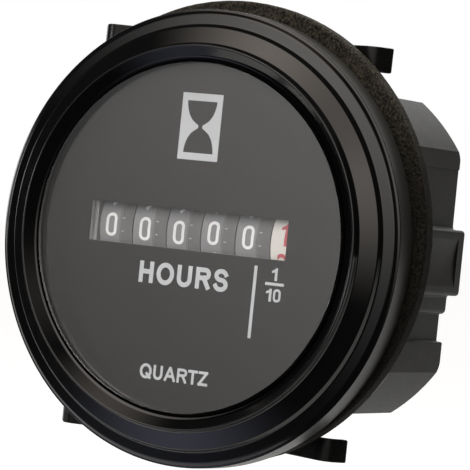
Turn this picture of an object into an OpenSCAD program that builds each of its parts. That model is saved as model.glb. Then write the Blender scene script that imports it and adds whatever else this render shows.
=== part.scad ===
// Panel hour meter: a round bezel and lens over a dial, six number wheels that carry
// over through transfer pinions, a quartz stepping motor and a slide-on mounting clip.
// The origin is on the axis at the panel seat, +Y runs to the back and +Z is up.

/* [Bezel and lens] */
// Outside diameter of the bezel
bezel_d = 59; // [54:0.5:66]
// Width of the bezel's round side, front to back
bezel_side = 3.0; // [2:0.1:5]
// Height of the crest in front of the rim edge
crest_h = 3.05; // [2:0.05:4]
// Diameter of the sight opening at the lip
sight_d = 45.4; // [40:0.1:48]
// Thickness of the clear lens
lens_t = 1.5; // [1:0.1:2.5]

/* [Gasket] */
// Outside diameter of the foam gasket
gasket_d = 62; // [60:0.5:68]
// Thickness of the gasket as it leaves the factory
gasket_t = 2.2; // [1:0.1:4]

/* [Dial] */
// Diameter of the printed dial
dial_d = 44.4; // [40:0.1:46]
// Thickness of the dial
dial_t = 0.8; // [0.5:0.1:1.2]
// Width of the counter window
window_w = 29.3; // [26:0.1:32]
// Height of the counter window
window_h = 5.1; // [4:0.1:6]
// Sideways place of the window's centre
window_x = -0.45; // [-1:0.05:1]
// Height of the window's centre
window_z = 0.96; // [0:0.02:2]

/* [Case] */
// Width and height of the case across its flats
case_w = 42; // [40:0.5:43]
// Diameter that the four case corners are turned to
corner_d = 51.4; // [50:0.1:51.8]
// Depth of the case behind the panel seat
case_depth = 26.7; // [24:0.1:32]
// Wall thickness of the case
case_wall = 1.6; // [1.2:0.1:2]
// Height of the guide rail on each side
rail_h = 8.8; // [6:0.2:10]
// How far each guide rail stands out
rail_out = 1.7; // [1:0.1:2]

/* [Mounting clip] */
// Space left for the panel between the gasket and the clip's feet
panel_gap = 2.1; // [2.05:0.05:6]
// Reach of the clip's feet to each side
foot_x = 21.4; // [20:0.1:23]
// Width of the clip's two bow springs
bow_w = 2.6; // [2:0.1:4]
// Thickness of the bow springs
bow_t = 1.0; // [0.8:0.1:1.6]

/* [Terminals] */
// Width of the blade terminals
blade_w = 6.3; // [4.8:0.1:6.3]
// Thickness of the blades
blade_t = 0.8; // [0.5:0.1:0.8]
// Length of the blades behind the case
blade_l = 8; // [7:0.5:10]
// Distance between the two blades
blade_pitch = 13; // [10:0.5:18]

/* [Counter] */
// Diameter of the number wheels
wheel_d = 12.8; // [12:0.1:13]
// Distance from one number wheel to the next
wheel_pitch = 5.14; // [5:0.02:5.3]
// Width of a number wheel's printed rim
rim_w = 3.15; // [3:0.05:3.3]
// Sideways place of the first wheel's digits
first_digit_x = -12.6; // [-13:0.05:-12]
// Depth of the wheels' axis
wheel_y = 1.3; // [1.2:0.05:2]
// Height of the wheels' axis
wheel_z = 0.6; // [0.4:0.05:1]
// Teeth on the gear of each number wheel
gear_teeth = 20; // [20:20:20]
// Teeth on each transfer pinion
pinion_teeth = 8; // [8:2:8]
// Tooth module of the number wheels and transfer pinions
carry_module = 0.525; // [0.51:0.005:0.54]

/* [Drive] */
// Teeth on the tenths wheel's drive gear
drive_teeth = 30; // [30:1:30]
// Teeth on the reduction wheel's pinion
reduction_pinion = 10; // [10:1:10]
// Teeth on the reduction wheel
reduction_teeth = 40; // [40:1:40]
// Teeth on the motor rotor's pinion
rotor_teeth = 8; // [8:1:8]

/* [Hidden] */
$fn = 96;
eps = 0.01;
fit = 0.05;
bezel_r = bezel_d / 2;
seat_y = -gasket_t;
rim_y = seat_y - bezel_side - 0.3;
crest_y = rim_y - crest_h;
lip_y = crest_y + 0.75;
lens_back = lip_y + lens_t;
lens_r = bezel_r - 5.3;
dial_front = lens_back + fit;
dial_back = dial_front + dial_t;
plate_front = dial_back + fit;
plate_back = plate_front + 1.15;
flange_front = rim_y + 1.1;
case_h = case_w / 2;
corner_r = corner_d / 2;
rear_y = case_depth;
inner_h = case_h - case_wall;
mouth_r = dial_d / 2 - 0.7;
ledge_r = mouth_r - 0.6;
rail_x = case_h + rail_out;
rib_y0 = 6;
rib_y1 = rear_y - 3;
rib_pitch = 1.2;
wheel_r = wheel_d / 2;
rim_left = 1.85;
rim_right = rim_w - rim_left;
shaft_r = 1.2;
hub_r = 2.1;
gap = 0.15;
zone = wheel_pitch - rim_w;
gear_w = zone / 2 - gap / 2;
gear_end = rim_right + gear_w;
lock_w = zone - gear_w - gap;
gear_r = gear_teeth * carry_module / 2;
pinion_r = pinion_teeth * carry_module / 2;
pinion_y = wheel_y + gear_r + pinion_r;
pinion_tip = pinion_r + 0.42;
lock_r = gear_r + pinion_r - pinion_tip - 0.12;
pinion_shaft_r = 0.75;
drive_module = 0.4;
motor_module = 0.3;
drive_r = drive_teeth * drive_module / 2;
small_r = reduction_pinion * drive_module / 2;
large_r = reduction_teeth * motor_module / 2;
rotor_r = rotor_teeth * motor_module / 2;
drive_turn = -60;
motor_turn = -40;
red_y = wheel_y + (drive_r + small_r) * cos(drive_turn);
red_z = wheel_z + (drive_r + small_r) * sin(drive_turn);
rotor_y = red_y + (large_r + rotor_r) * cos(motor_turn);
rotor_z = red_z + (large_r + rotor_r) * sin(motor_turn);
arbor_r = 0.6;
tenths_x = first_digit_x + 5 * wheel_pitch;
drive_x0 = tenths_x + rim_right + 0.1;
drive_x1 = drive_x0 + 0.9;
large_x0 = drive_x1 + 0.25;
large_x1 = large_x0 + 0.8;
left_x0 = first_digit_x - rim_left - 2.7;
left_x1 = left_x0 + 1.4;
right_x0 = large_x1 + 0.35;
right_x1 = right_x0 + 1.2;
open_x0 = first_digit_x - rim_left - 0.1;
finger_x0 = first_digit_x + rim_right + 0.08;
finger_x1 = first_digit_x + wheel_pitch - rim_left - 0.08;
finger_t = 0.6;
bearing_x0 = 8.6;
bearing_x1 = 9.6;
chassis_back = pinion_y + 4.1;
chassis_top = wheel_z + 8.4;
chassis_low = wheel_z - 9.2;
board_y = chassis_back + 3.2;
board_t = 1.6;
board_back = board_y + board_t;
stator_x = 11.2;
coil_z = rotor_z - 6.1;
clip_in = case_h + 0.3;
clip_out = clip_in + 1.5;
clip_corner = corner_r + 0.3;
clip_y0 = panel_gap + 1.5;
clip_y1 = clip_y0 + 4.4;
bow_z0 = 24.0;
ear_h = 6;
blade_y1 = rear_y + blade_l;
screw_x = 16.2;
screw_z = -11.6;

// a profile of (radius, depth) points turned about the meter's axis
module turned(points) {
    rotate([-90, 0, 0])
        rotate_extrude()
            polygon([for (p = points) [p[0], p[1]]]);
}

// a flat outline in X and Z, as thick as from y0 to y1
module slab(y0, y1) {
    translate([0, y1, 0])
        rotate([90, 0, 0])
            linear_extrude(y1 - y0)
                children();
}

// a flat outline in Y and Z, as thick as from x0 to x1
module plate(x0, x1) {
    translate([x0, 0, 0])
        rotate([90, 0, 90])
            linear_extrude(x1 - x0)
                children();
}

// a round bar along X at depth y and height z
module bar(x0, x1, y, z, r) {
    translate([x0, y, z])
        rotate([0, 90, 0])
            cylinder(h = x1 - x0, r = r);
}

// a round bar along Y at place x and height z
module post(x, z, y0, y1, r) {
    translate([x, y0, z])
        rotate([-90, 0, 0])
            cylinder(h = y1 - y0, r = r);
}

// outline of a gear with one tooth on the first axis, turned by a start angle
module gear_outline(teeth, tip_r, root_r, tip_w, root_w, start) {
    step = 360 / teeth;
    half_tip = asin(tip_w / 2 / tip_r);
    half_root = asin(root_w / 2 / root_r);
    polygon([for (i = [0 : teeth - 1], k = [-1.5, -0.5, 0.5, 1.5])
        let (a = start + i * step + sign(k) * (abs(k) > 1 ? half_root : half_tip),
            r = abs(k) > 1 ? root_r : tip_r)
        [r * cos(a), r * sin(a)]]);
}

// the case's outline: a square whose corners are turned to a circle
module case_outline(half, r) {
    intersection() {
        square(2 * half, center = true);
        circle(r);
    }
}

// printed rim, web and hub of a number wheel, standing on its own digit centre
module wheel_body(x, right_end) {
    translate([x, wheel_y, wheel_z])
        rotate([0, 90, 0])
            rotate_extrude()
                polygon([
                    [shaft_r + fit, -rim_left], [hub_r, -rim_left], [hub_r, -0.6],
                    [wheel_r - 0.8, -0.6], [wheel_r - 0.8, -rim_left], [wheel_r - 0.12, -rim_left],
                    [wheel_r, 0.12 - rim_left], [wheel_r, rim_right - 0.12],
                    [wheel_r - 0.12, rim_right], [wheel_r - 0.8, rim_right], [wheel_r - 0.8, 0.4],
                    [hub_r, 0.4], [hub_r, right_end], [shaft_r + fit, right_end]]);
}

// gear on a wheel's right side, which its transfer pinion turns
module wheel_gear(x) {
    translate([0, wheel_y, wheel_z])
        plate(x + 0.3, x + gear_end)
            difference() {
                gear_outline(gear_teeth, gear_r + 0.42, gear_r - 0.55, 0.34, 0.78,
                    180 / gear_teeth);
                circle(shaft_r + fit);
            }
}

// locking disc on a wheel's left side, with the two notches that pass on each tenth turn
module wheel_lock(x) {
    translate([0, wheel_y, wheel_z])
        plate(x - rim_left - lock_w, x - 0.5)
            difference() {
                circle(lock_r);
                circle(shaft_r + fit);
                for (a = [-13, 13])
                    rotate(180 + a)
                        translate([lock_r + 0.1, 0])
                            circle(0.55);
            }
}

// a plain number wheel: its place counts from the left
module number_wheel(place) {
    x = first_digit_x + place * wheel_pitch;
    union() {
        wheel_body(x, gear_end);
        wheel_gear(x);
        if (place > 0)
            wheel_lock(x);
    }
}

// transfer pinion between two wheels: eight short teeth, of which four run on
module transfer_pinion(place) {
    x = first_digit_x + place * wheel_pitch;
    color("silver")
        translate([0, pinion_y, wheel_z])
            difference() {
                union() {
                    plate(x + rim_right + 0.1, x + gear_end + gap / 2)
                        gear_outline(pinion_teeth, pinion_tip, pinion_r - 0.55, 0.30, 0.62, 0);
                    plate(x + gear_end, x + rim_right + zone - 0.1)
                        gear_outline(pinion_teeth / 2, pinion_tip, pinion_r - 0.55, 0.30, 0.62, 0);
                }
                bar(x, x + wheel_pitch, 0, 0, pinion_shaft_r + fit);
            }
}

module bezel() {
    color([0.05, 0.05, 0.055])
        turned([
            [bezel_r, seat_y], [bezel_r, rim_y + 0.3], [bezel_r - 0.1, rim_y + 0.08],
            [bezel_r - 0.3, rim_y - 0.02], [bezel_r - 0.75, rim_y - 0.4],
            [bezel_r - 2.15, rim_y - 0.6], [bezel_r - 2.45, rim_y - 1.2],
            [bezel_r - 4.7, rim_y - 2.2], [bezel_r - 4.85, rim_y - 2.75],
            [bezel_r - 5.0, crest_y + 0.08], [bezel_r - 5.15, crest_y],
            [bezel_r - 5.4, crest_y + 0.06], [sight_d / 2 + 0.15, lip_y - 0.1],
            [sight_d / 2, lip_y - 0.02], [sight_d / 2, lip_y], [lens_r + 0.1, lip_y],
            [lens_r + 0.1, lens_back], [lens_r + 1.7, lens_back],
            [lens_r + 1.7, flange_front], [bezel_r - 1.3, flange_front],
            [bezel_r - 1.3, seat_y - 0.75], [bezel_r - 1.8, seat_y - 0.35],
            [bezel_r - 1.8, seat_y]]);
}

module lens() {
    color([0.85, 0.88, 0.9, 0.35])
        post(0, 0, lip_y, lens_back, lens_r);
}

module dial() {
    color([0.28, 0.28, 0.28])
        slab(dial_front, dial_back)
            difference() {
                circle(dial_d / 2);
                translate([window_x, window_z])
                    square([window_w, window_h], center = true);
            }
}

module dial_ring() {
    color([0.04, 0.04, 0.045])
        turned([
            [dial_d / 2 + 0.1, dial_front], [lens_r - 0.7, dial_front],
            [lens_r - 0.7, dial_back], [dial_d / 2 + 0.1, dial_back]]);
}

module gasket() {
    color([0.13, 0.11, 0.1])
        turned([
            [corner_r + 0.3, seat_y], [gasket_d / 2 - 0.15, seat_y],
            [gasket_d / 2, seat_y + 0.15], [gasket_d / 2, -0.15],
            [gasket_d / 2 - 0.15, 0], [corner_r + 0.3, 0]]);
}

// front rim, flange and collar of the case, which are round
module case_neck() {
    turned([
        [mouth_r, dial_back + fit], [mouth_r, plate_back + fit], [ledge_r, plate_back + fit],
        [ledge_r, 2.5], [corner_r, 2.5], [corner_r, seat_y], [bezel_r - 2.0, seat_y],
        [bezel_r - 2.0, seat_y - 0.3], [bezel_r - 1.4, seat_y - 0.8],
        [bezel_r - 1.4, flange_front + 0.1], [lens_r + 1.6, flange_front + 0.1],
        [lens_r + 1.6, lens_back + fit], [lens_r - 0.6, lens_back + fit],
        [lens_r - 0.6, dial_back + fit]]);
}

// guide rail with a shallow scoop, on the side that sign gives
module side_rail(side) {
    difference() {
        translate([side > 0 ? case_h - 0.5 : -rail_x, 2, -rail_h / 2])
            cube([rail_out + 0.5, rear_y - 2, rail_h]);
        translate([side * (rail_x + 17.4), rear_y / 2 + 2, 0])
            rotate([90, 0, 0])
                cylinder(h = rear_y - 8, r = 18, center = true);
    }
}

// row of ratchet teeth that the clip's pawl drops behind
module ratchet_row(top) {
    count = floor((rib_y1 - rib_y0) / rib_pitch);
    plate(-4, 4)
        polygon(concat([[rib_y0, top * (case_h - 0.3)]],
            [for (i = [0 : count - 1], k = [0, 1])
                [rib_y0 + (i + k * 0.96) * rib_pitch, top * (case_h + 0.05 + 0.5 * k)]],
            [[rib_y0 + count * rib_pitch, top * (case_h - 0.3)]]));
}

module case() {
    color([0.2, 0.19, 0.18])
        difference() {
            union() {
                case_neck();
                difference() {
                    slab(2, rear_y)
                        case_outline(case_h, corner_r);
                    slab(1, rear_y - 1.7)
                        case_outline(inner_h, corner_r - case_wall);
                }
                side_rail(1);
                side_rail(-1);
                ratchet_row(1);
                ratchet_row(-1);
                for (s = [-1, 1])
                    translate([s * blade_pitch / 2 - 1.6, rear_y - eps, -blade_w / 2 - 1.3])
                        cube([3.2, 0.8, blade_w + 2.6]);
                for (x = [-screw_x, screw_x])
                    post(x, screw_z, plate_back + fit, plate_back + 2.9, 2.2);
            }
            for (x = [-screw_x, screw_x])
                post(x, screw_z, plate_back - 1, plate_back + 2.6, 0.72);
            // side grooves below the rails, whose floor is still inside the wall
            for (s = [-1, 1])
                translate([s * (case_h + 0.3) - 1, 2.5, -10.7])
                    cube([2, rear_y, 3.7]);
            // slots for the two terminals
            for (s = [-1, 1])
                translate([s * blade_pitch / 2 - blade_t / 2 - fit, rear_y - 3, -blade_w / 2 - fit])
                    cube([blade_t + 2 * fit, 6, blade_w + 2 * fit]);
        }
}

// one bow spring, drawn from above: middle, slope to the panel, foot and raised tip
module bow(top) {
    half = [[0, clip_y0 + 3.4], [5, clip_y0 + 3.1], [11.5, clip_y0 + 0.9],
        [foot_x - 3.6, panel_gap + 0.35], [foot_x - 2.3, panel_gap], [foot_x - 1.1, panel_gap + 0.35],
        [foot_x, panel_gap + 2.0]];
    back = [[foot_x - 0.95, panel_gap + 2.35], [foot_x - 1.75, panel_gap + 1.3],
        [foot_x - 2.4, panel_gap + bow_t], [foot_x - 3.4, panel_gap + bow_t + 0.3],
        [11.9, clip_y0 + 0.9 + bow_t], [5.4, clip_y0 + 3.1 + bow_t], [0, clip_y0 + 3.4 + bow_t]];
    side = concat(half, back);
    intersection() {
        translate([0, 0, top > 0 ? bow_z0 : -bow_z0 - bow_w])
            linear_extrude(bow_w)
                for (s = [-1, 1])
                    polygon([for (p = side) [s * p[0], p[1]]]);
        slab(0, 20)
            polygon([[-foot_x, 0], [foot_x, 0], [foot_x, top * (bow_z0 + bow_w - 0.7)],
                [foot_x - 1.2, top * (bow_z0 + bow_w)], [1.2 - foot_x, top * (bow_z0 + bow_w)],
                [-foot_x, top * (bow_z0 + bow_w - 0.7)]]);
    }
}

module mounting_clip() {
    color([0.07, 0.07, 0.075])
        difference() {
            union() {
                slab(clip_y0, clip_y1)
                    case_outline(clip_out, clip_corner + 1.3);
                for (s = [-1, 1])
                    translate([s > 0 ? clip_in : -rail_x - 2.6, clip_y0, -ear_h])
                        cube([rail_x + 2.6 - clip_in, clip_y1 + 2 - clip_y0, 2 * ear_h]);
                for (t = [-1, 1])
                    translate([-5, clip_y0 + 1, t > 0 ? clip_in : -bow_z0 - bow_w])
                        cube([10, clip_y1 - clip_y0 - 1, bow_z0 + bow_w - clip_in]);
                for (t = [-1, 1])
                    bow(t);
            }
            slab(clip_y0 - 1, clip_y1 + 4)
                case_outline(clip_in, clip_corner);
            translate([-rail_x - 0.3, clip_y0 - 1, -rail_h / 2 - 0.3])
                cube([2 * rail_x + 0.6, clip_y1 + 4, rail_h + 0.6]);
            for (t = [-1, 1])
                translate([-4.3, clip_y0 - 1, t > 0 ? 0 : -case_h - 0.85])
                    cube([8.6, clip_y1, case_h + 0.85]);
        }
}

// blade terminal with a detent hole, a shoulder in the case wall and a tail to the board
module terminal(side) {
    x = side * blade_pitch / 2;
    difference() {
        translate([x, 0, 0])
            plate(-blade_t / 2, blade_t / 2)
                polygon([
                    [board_back + 0.02, -0.6], [rear_y - 4.2, -0.6], [rear_y - 4.2, -blade_w / 2 - 1],
                    [rear_y - 3.05, -blade_w / 2 - 1], [rear_y - 3.05, -blade_w / 2],
                    [blade_y1 - 1.2, -blade_w / 2], [blade_y1, -blade_w / 2 + 1.2],
                    [blade_y1, blade_w / 2 - 1.2], [blade_y1 - 1.2, blade_w / 2],
                    [rear_y - 3.05, blade_w / 2], [rear_y - 3.05, blade_w / 2 + 1],
                    [rear_y - 4.2, blade_w / 2 + 1], [rear_y - 4.2, 0.6], [board_back + 0.02, 0.6]]);
        bar(x - 1, x + 1, blade_y1 - 3.6, 0, 0.9);
    }
}

module terminal_positive() {
    color([0.8, 0.76, 0.6])
        terminal(1);
}

module terminal_negative() {
    color([0.8, 0.76, 0.6])
        terminal(-1);
}

// curved finger that stands on the floor and covers the gears between two number wheels
module finger_outline() {
    difference() {
        union() {
            translate([wheel_y, wheel_z])
                circle(wheel_r);
            translate([wheel_y - 1.2, chassis_low + 0.5])
                square([1.2, wheel_z - wheel_r - chassis_low - 0.1]);
        }
        translate([wheel_y, wheel_z])
            circle(wheel_r - finger_t);
        translate([wheel_y, wheel_z - wheel_r - 1])
            square([wheel_r + 1, 2 * wheel_r + 2]);
        translate([wheel_y - wheel_r - 1, wheel_z + 5.2])
            square([wheel_r + 2, 3]);
    }
}

// moulded chassis: round front plate, two bearing plates, back, floor, fingers and motor bearing
module chassis() {
    color([0.16, 0.16, 0.16])
        difference() {
            union() {
                slab(plate_front, plate_back)
                    difference() {
                        circle(mouth_r - 0.1);
                        translate([(open_x0 + right_x0) / 2, wheel_z])
                            square([right_x0 - open_x0, 2 * wheel_r + 0.8], center = true);
                    }
                for (i = [0 : 4])
                    plate(finger_x0 + i * wheel_pitch, finger_x1 + i * wheel_pitch)
                        finger_outline();
                plate(left_x0, left_x1)
                    translate([plate_front + 0.5, chassis_low])
                        square([chassis_back - plate_front - 0.5, chassis_top - chassis_low]);
                plate(right_x0, right_x1)
                    polygon([
                        [plate_front + 0.5, chassis_low], [3, chassis_low],
                        [rotor_y - 2.5, rotor_z - 2.6], [rotor_y + 2.4, rotor_z - 2.6],
                        [chassis_back, chassis_low], [chassis_back, chassis_top],
                        [plate_front + 0.5, chassis_top]]);
                slab(chassis_back - 1.2, chassis_back)
                    polygon([
                        [left_x0, chassis_low], [drive_x0 - 1, chassis_low], [drive_x0 - 1, 1.2],
                        [right_x1, 1.2], [right_x1, chassis_top], [left_x0, chassis_top]]);
                translate([left_x0, 0, chassis_low])
                    cube([drive_x0 - 1 - left_x0, chassis_back, 1.1]);
                plate(bearing_x0, bearing_x1)
                    polygon([
                        [red_y - 1.6, chassis_low], [red_y - 0.9, red_z + 0.95], [red_y + 1.4, red_z + 0.95],
                        [red_y + 2.2, chassis_low], [chassis_back, chassis_low],
                        [rotor_y + 1.6, rotor_z - 1.6], [rotor_y - 1.6, rotor_z - 1.6]]);
                for (x = [-13.5, 13.5])
                    post(x, chassis_top - 2.4, chassis_back - eps, board_y, 1.8);
                for (x = [-13.5, 0])
                    post(x, chassis_low + 2.4, chassis_back - eps, board_y, 1.8);
            }
            bar(left_x0 - 1, right_x1 + 1, wheel_y, wheel_z, shaft_r);
            bar(left_x0 - 1, right_x1 + 1, pinion_y, wheel_z, pinion_shaft_r);
            bar(bearing_x0 - 1, right_x1 + 1, red_y, red_z, arbor_r + fit);
            bar(bearing_x0 - 1, right_x1 + 1, rotor_y, rotor_z, arbor_r + fit);
            for (x = [-screw_x, screw_x]) {
                post(x, screw_z, plate_front - 1, plate_back + 1, 0.8);
                post(x, screw_z, plate_front - 1, plate_front + 0.45, 1.4);
            }
            for (x = [-13.5, 13.5])
                post(x, chassis_top - 2.4, chassis_back, board_y + 1, 0.75);
            for (x = [-13.5, 0])
                post(x, chassis_low + 2.4, chassis_back, board_y + 1, 0.75);
        }
}

module wheel_shaft() {
    color("silver")
        bar(left_x0, right_x1, wheel_y, wheel_z, shaft_r);
}

module pinion_shaft() {
    color("silver")
        bar(left_x0, right_x1, pinion_y, wheel_z, pinion_shaft_r);
}

// lowest wheel: white, with the drive gear in place of the carry gear
module wheel_tenths() {
    color([0.88, 0.87, 0.84])
        union() {
            wheel_body(tenths_x, drive_x1 - tenths_x);
            wheel_lock(tenths_x);
            translate([0, wheel_y, wheel_z])
                plate(tenths_x + 0.3, tenths_x + rim_right + 0.05)
                    difference() {
                        circle(hub_r + 1.5);
                        circle(shaft_r + fit);
                    }
            translate([0, wheel_y, wheel_z])
                plate(drive_x0, drive_x1)
                    difference() {
                        gear_outline(drive_teeth, drive_r + 0.34, drive_r - 0.45, 0.26, 0.62,
                            drive_turn + 180 / drive_teeth);
                        circle(shaft_r + fit);
                    }
        }
}

module wheel_units() {
    color([0.36, 0.36, 0.36])
        number_wheel(4);
}

module wheel_tens() {
    color([0.36, 0.36, 0.36])
        number_wheel(3);
}

module wheel_hundreds() {
    color([0.36, 0.36, 0.36])
        number_wheel(2);
}

module wheel_thousands() {
    color([0.36, 0.36, 0.36])
        number_wheel(1);
}

module wheel_ten_thousands() {
    color([0.36, 0.36, 0.36])
        number_wheel(0);
}

module transfer_pinion_1() {
    transfer_pinion(4);
}

module transfer_pinion_2() {
    transfer_pinion(3);
}

module transfer_pinion_3() {
    transfer_pinion(2);
}

module transfer_pinion_4() {
    transfer_pinion(1);
}

module transfer_pinion_5() {
    transfer_pinion(0);
}

// reduction wheel on its arbor: the rotor turns the large gear, its pinion turns the tenths
module reduction_wheel() {
    color([0.85, 0.8, 0.6])
        translate([0, red_y, red_z])
            union() {
                bar(bearing_x0 + 0.1, right_x1 - 0.1, 0, 0, arbor_r);
                bar(bearing_x1 + 0.15, drive_x0, 0, 0, arbor_r + 0.25);
                plate(drive_x0, large_x0 + 0.1)
                    gear_outline(reduction_pinion, small_r + 0.34, small_r - 0.45, 0.26, 0.52,
                        drive_turn + 180);
                plate(large_x0, large_x1)
                    gear_outline(reduction_teeth, large_r + 0.25, large_r - 0.34, 0.2, 0.46,
                        motor_turn + 180 / reduction_teeth);
            }
}

// two-pole magnet rotor with its pinion
module motor_rotor() {
    color([0.3, 0.3, 0.32])
        translate([0, rotor_y, rotor_z])
            union() {
                bar(bearing_x0 + 0.1, right_x1 - 0.1, 0, 0, arbor_r);
                bar(stator_x - 0.6, stator_x + 1.6, 0, 0, 2.2);
                plate(large_x0 - 0.1, large_x1 + 0.1)
                    gear_outline(rotor_teeth, rotor_r + 0.25, rotor_r - 0.34, 0.18, 0.4,
                        motor_turn + 180);
            }
}

// one stamped stator plate: pole bore with two pinched necks, and two legs for the coil
module motor_stator() {
    color("gray")
        union() {
            plate(stator_x, stator_x + 1)
                difference() {
                    polygon([
                        [rotor_y - 3.8, coil_z - 1.6], [rotor_y - 1.6, coil_z - 1.6],
                        [rotor_y - 1.6, rotor_z - 3.4], [rotor_y + 8.6, rotor_z - 3.4],
                        [rotor_y + 8.6, coil_z - 1.6], [rotor_y + 10.8, coil_z - 1.6],
                        [rotor_y + 10.8, rotor_z + 1.6], [rotor_y + 3.8, chassis_low - 0.02],
                        [rotor_y - 3.8, chassis_low - 0.02]]);
                    translate([rotor_y, rotor_z])
                        circle(2.6);
                    for (a = [75, -105])
                        translate([rotor_y, rotor_z])
                            rotate(a)
                                translate([2.5, 0])
                                    circle(0.35);
                }
            translate([stator_x + 0.5, rotor_y - 1.7, coil_z])
                rotate([-90, 0, 0])
                    cylinder(h = 10.4, r = 0.5);
        }
}

// bobbin and winding on the stator's core
module motor_coil() {
    color([0.6, 0.3, 0.15])
        translate([stator_x + 0.5, rotor_y - 1.5, coil_z])
            rotate([-90, 0, 0])
                rotate_extrude()
                    polygon([
                        [0.55, 0], [2.2, 0], [2.2, 0.6], [1.9, 0.6], [1.9, 9.4], [2.2, 9.4],
                        [2.2, 10], [0.55, 10]]);
}

module circuit_board() {
    color([0.1, 0.3, 0.15])
        slab(board_y, board_back)
            difference() {
                translate([-17, -6.2])
                    square([34, 21.6]);
                for (x = [-13.5, 13.5])
                    translate([x, chassis_top - 2.4])
                        circle(0.9);
                for (x = [-13.5, 0])
                    translate([x, chassis_low + 2.4])
                        circle(0.9);
                for (s = [-1, 1])
                    translate([s * blade_pitch / 2, 10.5])
                        circle(0.5);
            }
}

// metal can of the quartz crystal, lying on the board
module quartz_crystal() {
    color("silver")
        bar(-12, -6, board_back + 1.1, 12, 1.05);
}

module driver_chip() {
    color([0.08, 0.08, 0.08])
        union() {
            translate([-2.5, board_back + 0.15, 9])
                cube([5, 1.5, 4]);
            for (i = [0 : 3], s = [-1, 1])
                translate([-2.1 + i * 1.27, board_back + 0.02, s > 0 ? 12.9 : 8.1])
                    cube([0.4, 0.5, 1.0]);
        }
}

module filter_capacitor() {
    color([0.15, 0.18, 0.3])
        post(-1, 3.2, board_back + 0.02, board_back + 6, 2.5);
}

module protection_diode() {
    color([0.75, 0.35, 0.2])
        union() {
            bar(7.5, 11.5, board_back + 1.05, 12.4, 1.0);
            bar(6, 13, board_back + 1.05, 12.4, 0.3);
        }
}

module series_resistor() {
    color([0.8, 0.7, 0.5])
        union() {
            bar(7.8, 11.2, board_back + 1.05, 8.6, 0.9);
            bar(6.2, 12.8, board_back + 1.05, 8.6, 0.3);
        }
}

// two pan-head screws that hold the chassis to the case's ledge
module chassis_screws() {
    color("silver")
        for (x = [-screw_x, screw_x])
            union() {
                post(x, screw_z, plate_front + 0.02, plate_front + 0.45, 1.3);
                post(x, screw_z, plate_front + 0.3, plate_back + 2.5, 0.7);
            }
}

// screws that hold the board to the chassis posts
module board_screws() {
    color("silver")
        for (p = [[-13.5, chassis_top - 2.4], [13.5, chassis_top - 2.4],
            [-13.5, chassis_low + 2.4], [0, chassis_low + 2.4]])
            union() {
                post(p[0], p[1], board_back + 0.02, board_back + 1, 1.5);
                post(p[0], p[1], chassis_back + 0.4, board_back + 0.1, 0.7);
            }
}

bezel();
lens();
dial();
dial_ring();
gasket();
case();
mounting_clip();
terminal_positive();
terminal_negative();
chassis();
wheel_shaft();
pinion_shaft();
wheel_tenths();
wheel_units();
wheel_tens();
wheel_hundreds();
wheel_thousands();
wheel_ten_thousands();
transfer_pinion_1();
transfer_pinion_2();
transfer_pinion_3();
transfer_pinion_4();
transfer_pinion_5();
reduction_wheel();
motor_rotor();
motor_stator();
motor_coil();
circuit_board();
quartz_crystal();
driver_chip();
filter_capacitor();
protection_diode();
series_resistor();
chassis_screws();
board_screws();
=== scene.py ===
import bpy
import math
from mathutils import Matrix, Vector


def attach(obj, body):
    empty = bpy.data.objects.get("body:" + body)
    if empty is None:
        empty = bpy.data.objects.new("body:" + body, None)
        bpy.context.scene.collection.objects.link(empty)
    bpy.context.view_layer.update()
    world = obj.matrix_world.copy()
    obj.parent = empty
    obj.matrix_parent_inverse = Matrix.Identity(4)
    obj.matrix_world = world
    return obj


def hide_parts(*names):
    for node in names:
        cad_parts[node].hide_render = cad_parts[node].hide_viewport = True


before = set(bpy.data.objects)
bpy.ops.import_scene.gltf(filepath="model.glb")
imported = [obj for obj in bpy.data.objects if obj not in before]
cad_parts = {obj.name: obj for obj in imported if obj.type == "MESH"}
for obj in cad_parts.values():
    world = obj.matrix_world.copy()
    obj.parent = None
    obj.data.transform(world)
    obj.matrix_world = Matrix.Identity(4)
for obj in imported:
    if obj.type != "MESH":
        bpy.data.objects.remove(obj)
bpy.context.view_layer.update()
print("frame loaded,", len(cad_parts), "solids")

mm = 0.001
scene = bpy.context.scene
scene.view_settings.view_transform = "Standard"


def srgb(code):
    parts = [int(code[i:i + 2], 16) / 255 for i in (1, 3, 5)]
    return tuple(c / 12.92 if c <= 0.04045 else ((c + 0.055) / 1.055) ** 2.4 for c in parts) + (1.0,)


def addNode(tree, kind, props=None, inputs=None):
    node = tree.nodes.new(kind)
    for key, value in (props or {}).items():
        setattr(node, key, value)
    for key, value in (inputs or {}).items():
        if isinstance(value, bpy.types.NodeSocket):
            tree.links.new(value, node.inputs[key])
        else:
            node.inputs[key].default_value = value
    return node


# camera, fitted to the rings of the bezel
cameraSet = {"az": 30.067, "el": 0.604, "roll": 5.829, "away": 370.5, "aimY": -5.4,
             "slideX": 5.113, "slideZ": 0.403, "lens": 221.7}

az, el, roll = (math.radians(cameraSet[k]) for k in ("az", "el", "roll"))
back = Vector((math.sin(az) * math.cos(el), -math.cos(az) * math.cos(el), math.sin(el)))
level = Vector((math.cos(az), math.sin(az), 0))
right = level * math.cos(roll) + back.cross(level) * math.sin(roll)
up = back.cross(right)
spot = Vector((0, cameraSet["aimY"], 0)) + back * cameraSet["away"]
spot += right * cameraSet["slideX"] + up * cameraSet["slideZ"]
bpy.ops.object.camera_add()
cam = bpy.context.object
cam.matrix_world = Matrix.Translation(spot * mm) @ Matrix((right, up, back)).transposed().to_4x4()
cam.data.lens = cameraSet["lens"]
cam.data.sensor_width = 36
cam.data.clip_start = 0.01
scene.camera = cam
print("camera set")

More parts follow.
